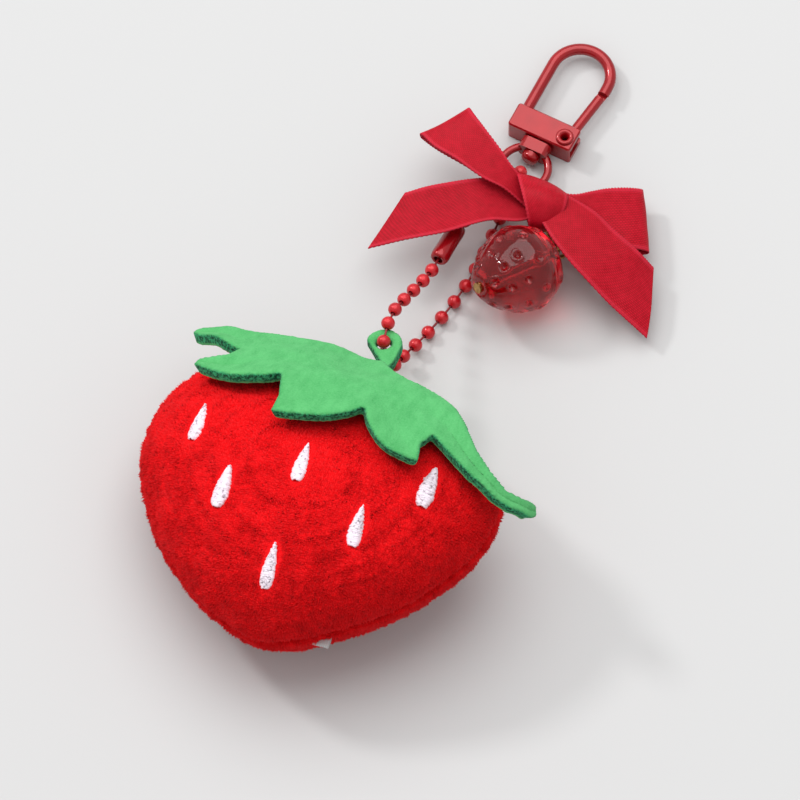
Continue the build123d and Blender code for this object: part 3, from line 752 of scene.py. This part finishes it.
def ribbon_bow():
    """Two loops and two tails of ribbon, each drawn by its two edges, with the knot wrapped round them."""
    bm = bmesh.new()
    # left loop: up from the knot, over its fold and back under
    strip(bm,
          ((8.5, 31.4, 9.4), (4.2, 32.5, 10.9), (-0.1, 32.9, 11.6), (-5.3, 34.4, 12.2), (-9.6, 35.6, 12.0),
           (-12.7, 37.4, 11.2), (-13.2, 37.8, 10.0), (-12.6, 37.6, 9.0), (-9.6, 36.8, 8.4), (-4.6, 35.8, 8.2),
           (2.0, 34.0, 8.2), (8.0, 33.0, 8.4)),
          ((8.0, 35.4, 9.6), (4.3, 36.6, 11.2), (1.0, 38.9, 12.0), (-2.9, 41.6, 12.6), (-5.4, 43.5, 12.2),
           (-6.8, 44.8, 11.4), (-7.2, 45.1, 10.2), (-6.6, 44.8, 9.2), (-4.3, 43.5, 8.6), (-0.8, 41.2, 8.2),
           (3.6, 37.8, 8.2), (8.6, 35.6, 8.4)), crown=0.25)
    # left tail
    strip(bm,
          ((10.0, 29.8, 8.6), (7.7, 28.4, 8.8), (4.1, 27.0, 9.2), (1.2, 25.0, 9.6), (-3.3, 21.3, 9.9),
           (-8.8, 17.8, 9.9), (-14.3, 14.2, 9.7)),
          ((9.0, 34.8, 8.6), (6.1, 35.0, 8.9), (2.4, 34.8, 9.2), (-0.8, 33.4, 9.5), (-4.4, 31.4, 9.8),
           (-8.3, 28.9, 9.9), (-12.0, 26.2, 9.8)), crown=0.5)
    # right loop
    strip(bm,
          ((11.0, 31.6, 8.6), (14.9, 30.9, 8.6), (18.8, 30.1, 8.2), (22.7, 29.8, 7.4), (26.8, 30.9, 6.4),
           (29.8, 32.2, 5.2), (30.5, 32.7, 4.0), (29.6, 32.6, 3.0), (26.2, 31.6, 2.8), (21.0, 31.6, 4.0),
           (15.6, 32.4, 6.0), (11.0, 33.0, 7.6)),
          ((11.5, 35.6, 8.8), (15.4, 36.3, 8.9), (17.9, 38.1, 8.4), (20.1, 39.9, 7.6), (22.9, 41.7, 6.4),
           (25.3, 43.1, 5.2), (25.7, 43.4, 4.0), (24.9, 42.8, 3.0), (22.3, 41.2, 2.8), (18.8, 38.6, 4.0),
           (15.2, 36.2, 6.0), (11.5, 35.2, 7.6)), crown=0.25)
    # right tail, over the right loop
    strip(bm,
          ((9.8, 30.3, 9.2), (11.6, 29.6, 10.0), (15.9, 26.0, 9.8), (22.5, 22.3, 8.0), (29.9, 19.3, 5.2),
           (35.7, 17.5, 2.8)),
          ((12.6, 35.5, 9.4), (15.3, 35.1, 10.0), (20.1, 34.2, 9.4), (23.9, 32.7, 8.3), (28.6, 31.1, 6.6),
           (32.5, 29.9, 4.4)), crown=0.5)
    # the knot: a length wrapped across the others
    strip(bm,
          ((6.5, 34.5, 7.0), (5.0, 36.4, 9.2), (5.4, 35.6, 10.8), (7.0, 33.0, 11.6), (8.6, 30.6, 11.2),
           (10.0, 28.6, 9.6), (10.2, 28.8, 7.0), (8.8, 31.0, 6.2), (7.0, 33.6, 6.2)),
          ((13.0, 34.8, 7.0), (14.2, 35.9, 8.4), (14.6, 35.2, 10.0), (15.0, 33.8, 10.9), (15.1, 32.4, 10.6),
           (14.4, 30.6, 9.4), (13.4, 30.4, 7.0), (13.0, 31.8, 6.2), (13.0, 33.8, 6.2)), crown=0.9)
    made = piece(bm, "satin_bow")
    body = made.modifiers.new("body", "SOLIDIFY")
    body.thickness, body.offset = RIBBON_THICK, 0
    settle(made)
    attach(dress(made, SATIN), "bow")
    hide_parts("ribbon_bow")


# ---------------------------------------------------------------- berry bead
BEAD_BORE = 0.65 * mm
BEAD_SHIFT = Vector((-0.6, -0.7, 0.27)) * mm
# rings of dimples from the tip to the cap, as (height, count), and the lines where the halves meet
DIMPLE_RINGS = ((-6.6, 4), (-4.6, 8), (-1.9, 9), (1.0, 9), (5.2, 7))
PARTING_LEVELS = (3.0, 3.55)
BEAD_AXIS = Vector((0.5485, 0.7834, -0.2924)).normalized()


def berry_bead():
    """A turned acrylic berry with ringed dimples and the two fine lines where its halves meet."""
    profile = places((0.65, 0, -7.88), (2.6, 0, -7.45), (5.05, 0, -4.9), (6.9, 0, -1.6), (7.65, 0, 1.42),
                     (6.75, 0, 4.5), (5.3, 0, 6.45), (2.6, 0, 7.75), (0.65, 0, 7.9))
    bm = bmesh.new()
    steps = 96
    line = [through(profile, k / steps) for k in range(steps + 1)]
    verts = [bm.verts.new(at) for at in line]
    edges = [bm.edges.new(pair) for pair in zip(verts, verts[1:])]
    edges.append(bm.edges.new((verts[-1], verts[0])))
    bmesh.ops.subdivide_edges(bm, edges=edges[-1:], cuts=10)
    bmesh.ops.spin(bm, geom=bm.verts[:] + bm.edges[:], axis=(0, 0, 1), cent=(0, 0, 0), angle=math.tau,
                   steps=160, use_merge=True, use_duplicate=False)
    bmesh.ops.remove_doubles(bm, verts=bm.verts, dist=0.002 * mm)
    bmesh.ops.recalc_face_normals(bm, faces=bm.faces)
    bm.normal_update()
    dimples = []
    for ring, (height, count) in enumerate(DIMPLE_RINGS):
        for k in range(count):
            turn = math.tau * (k + 0.5 * (ring % 2)) / count + chance.uniform(-0.08, 0.08)
            reach = min(line, key=lambda p: abs(p.z - height * mm)).x
            dimples.append(Vector((reach * math.cos(turn), reach * math.sin(turn), height * mm)))
    for v in bm.verts:
        if math.hypot(v.co.x, v.co.y) < BEAD_BORE * 1.2:
            continue
        out = v.normal.copy()
        gap = min((v.co - d).length for d in dimples)
        dent = -0.62 * mm * (1 - ease(0.20 * mm, 0.78 * mm, gap))
        rim = 0.16 * mm * math.exp(-((gap - 0.95 * mm) / (0.17 * mm)) ** 2)
        parting = sum(math.exp(-((v.co.z - level * mm) / (0.10 * mm)) ** 2) for level in PARTING_LEVELS)
        v.co += out * (dent + rim - 0.14 * mm * parting)
    turn = Vector((0, 0, 1)).rotation_difference(BEAD_AXIS).to_matrix().to_4x4()
    bm.transform(Matrix.Translation(middle("berry_bead") + BEAD_SHIFT) @ turn)
    made = piece(bm, "acrylic_berry")
    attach(dress(made, ACRYLIC), "bead")
    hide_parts("berry_bead")


# ---------------------------------------------------------------- turned metal pieces
def turned(profile, steps=64):
    """A closed profile of (radius, height) in millimetres spun round the z axis."""
    bm = bmesh.new()
    verts = [bm.verts.new((r * mm, 0, z * mm)) for r, z in profile]
    for pair in zip(verts, verts[1:] + verts[:1]):
        bm.edges.new(pair)
    bmesh.ops.spin(bm, geom=bm.verts[:] + bm.edges[:], axis=(0, 0, 1), cent=(0, 0, 0), angle=math.tau,
                   steps=steps, use_merge=True, use_duplicate=False)
    bmesh.ops.remove_doubles(bm, verts=bm.verts, dist=0.001 * mm)
    bmesh.ops.recalc_face_normals(bm, faces=bm.faces)
    return bm


def rolled_rivet():
    """The gate's hollow rivet, its top rolled over into a round lip."""
    low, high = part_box("gate_pin")
    shank = ((0.80, 0.0), (0.80, 4.44))
    lip = ((1.46, 4.50), (1.56, 4.66), (1.52, 4.84), (1.36, 4.97), (1.14, 5.02), (0.92, 4.96), (0.74, 4.80))
    bore = ((0.60, 4.50), (0.52, 4.1), (0.50, 3.6), (0.50, 0.0))
    bm = turned(shank + lip + bore)
    bmesh.ops.translate(bm, verts=bm.verts, vec=((low.x + high.x) / 2, (low.y + high.y) / 2, low.z))
    made = piece(bm, "rolled_rivet")
    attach(dress(made, ENAMEL), "clasp")
    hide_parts("gate_pin")


def chain_sleeve():
    """The connector: sheet folded round into a sleeve, drawn in at both ends, its slit shown as a groove
    along the top.
    """
    upper_outside = ((1.60, 1.0), (1.66, 2.6), (1.62, 3.5), (1.48, 4.0), (1.20, 4.24), (0.85, 4.28))
    upper_inside = ((0.85, 3.95), (1.16, 3.85), (1.30, 3.3))
    upper = upper_outside + upper_inside
    lower = tuple((r, -z) for r, z in reversed(upper))
    bm = turned(upper + lower, steps=96)
    for v in bm.verts:
        reach = math.hypot(v.co.x, v.co.y)
        slit = math.exp(-(v.co.x / (0.16 * mm)) ** 2) if v.co.y > 0 and reach > 1.4 * mm else 0
        v.co.y *= (1 - 0.22 * slit) * 0.92
    along = Vector((0.7, 8.2, -2.1)).normalized()
    turn = Vector((0, 0, 1)).rotation_difference(along).to_matrix().to_4x4()
    bm.transform(Matrix.Translation(middle("chain_connector")) @ turn)
    made = piece(bm, "chain_sleeve")
    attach(dress(made, ENAMEL), "upper_chain")
    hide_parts("chain_connector")


# ---------------------------------------------------------------- studio
def studio():
    """A pale floor, a soft box overhead, a soft sun from the upper left, and the camera."""
    reach = 3.8306
    bm = bmesh.new()
    bmesh.ops.create_grid(bm, x_segments=1, y_segments=1, size=1.5)
    bmesh.ops.translate(bm, verts=bm.verts, vec=(0, 0, -0.05 * mm))
    floor = piece(bm, "studio_floor")
    paper = Recipe("studio_paper", (0.56, 0.56, 0.56), 0.9, Specular_IOR_Level=0.0)
    paper.colour(paper.mix(paper.speckle(2.0, 1, 0.5), (0.558, 0.558, 0.558), (0.562, 0.562, 0.562)))
    dress(floor, paper.material)

    world = bpy.data.worlds.new("studio")
    scene.world = world
    world.use_nodes = True
    sky = world.node_tree.nodes["Background"].inputs
    sky["Color"].default_value = (1.0, 1.0, 1.0, 1)
    sky["Strength"].default_value = 0.72

    softbox = bpy.data.lights.new("softbox", "AREA")
    softbox.shape, softbox.size, softbox.energy = "DISK", 1.15, 7.6
    overhead = bpy.data.objects.new("softbox", softbox)
    toward = Vector((-0.12, 0.30, 0.95)).normalized()
    overhead.location = toward
    overhead.rotation_mode = "QUATERNION"
    overhead.rotation_quaternion = (-toward).to_track_quat("-Z", "Y")
    scene.collection.objects.link(overhead)

    key = bpy.data.lights.new("key", "SUN")
    key.energy, key.angle = 0.98, math.radians(9)
    lamp = bpy.data.objects.new("key", key)
    lamp.rotation_mode = "QUATERNION"
    lamp.rotation_quaternion = (-Vector((-1.115, 0.286, 1.0))).to_track_quat("-Z", "Y")
    scene.collection.objects.link(lamp)

    lens = bpy.data.cameras.new("camera")
    lens.lens, lens.sensor_width = 1000, 36
    lens.clip_start, lens.clip_end = 0.01, 10
    camera = bpy.data.objects.new("camera", lens)
    look = Vector((-0.1553, 0.4266, -0.8910)).normalized()
    camera.location = Vector((-0.7, -7.0, 0)) * mm - look * reach
    camera.rotation_mode = "QUATERNION"
    camera.rotation_quaternion = look.to_track_quat("-Z", "Y")
    scene.collection.objects.link(camera)
    scene.camera = camera
    scene.view_settings.view_transform = "Standard"


studio()
base = plush_berry()
fibre_filling()
stitched_seeds(base)
folded_label()
felt_leaves()
ribbon_bow()
berry_bead()
rolled_rivet()
chain_sleeve()

for node, material in {
    "lower_chain_balls": CHAIN_RED,
    "upper_chain_balls": CHAIN_RED,
    "lower_chain_links": LINK_RED,
    "upper_chain_links": LINK_RED,
    "bead_links": GILT,
    "bead_pin": GILT,
    "swivel_ring": ENAMEL,
    "swivel_rivet": ENAMEL,
    "clasp_frame": ENAMEL,
    "clasp_gate": ENAMEL,
    "gate_spring": STEEL,
}.items():
    dress(nodes[node], material)
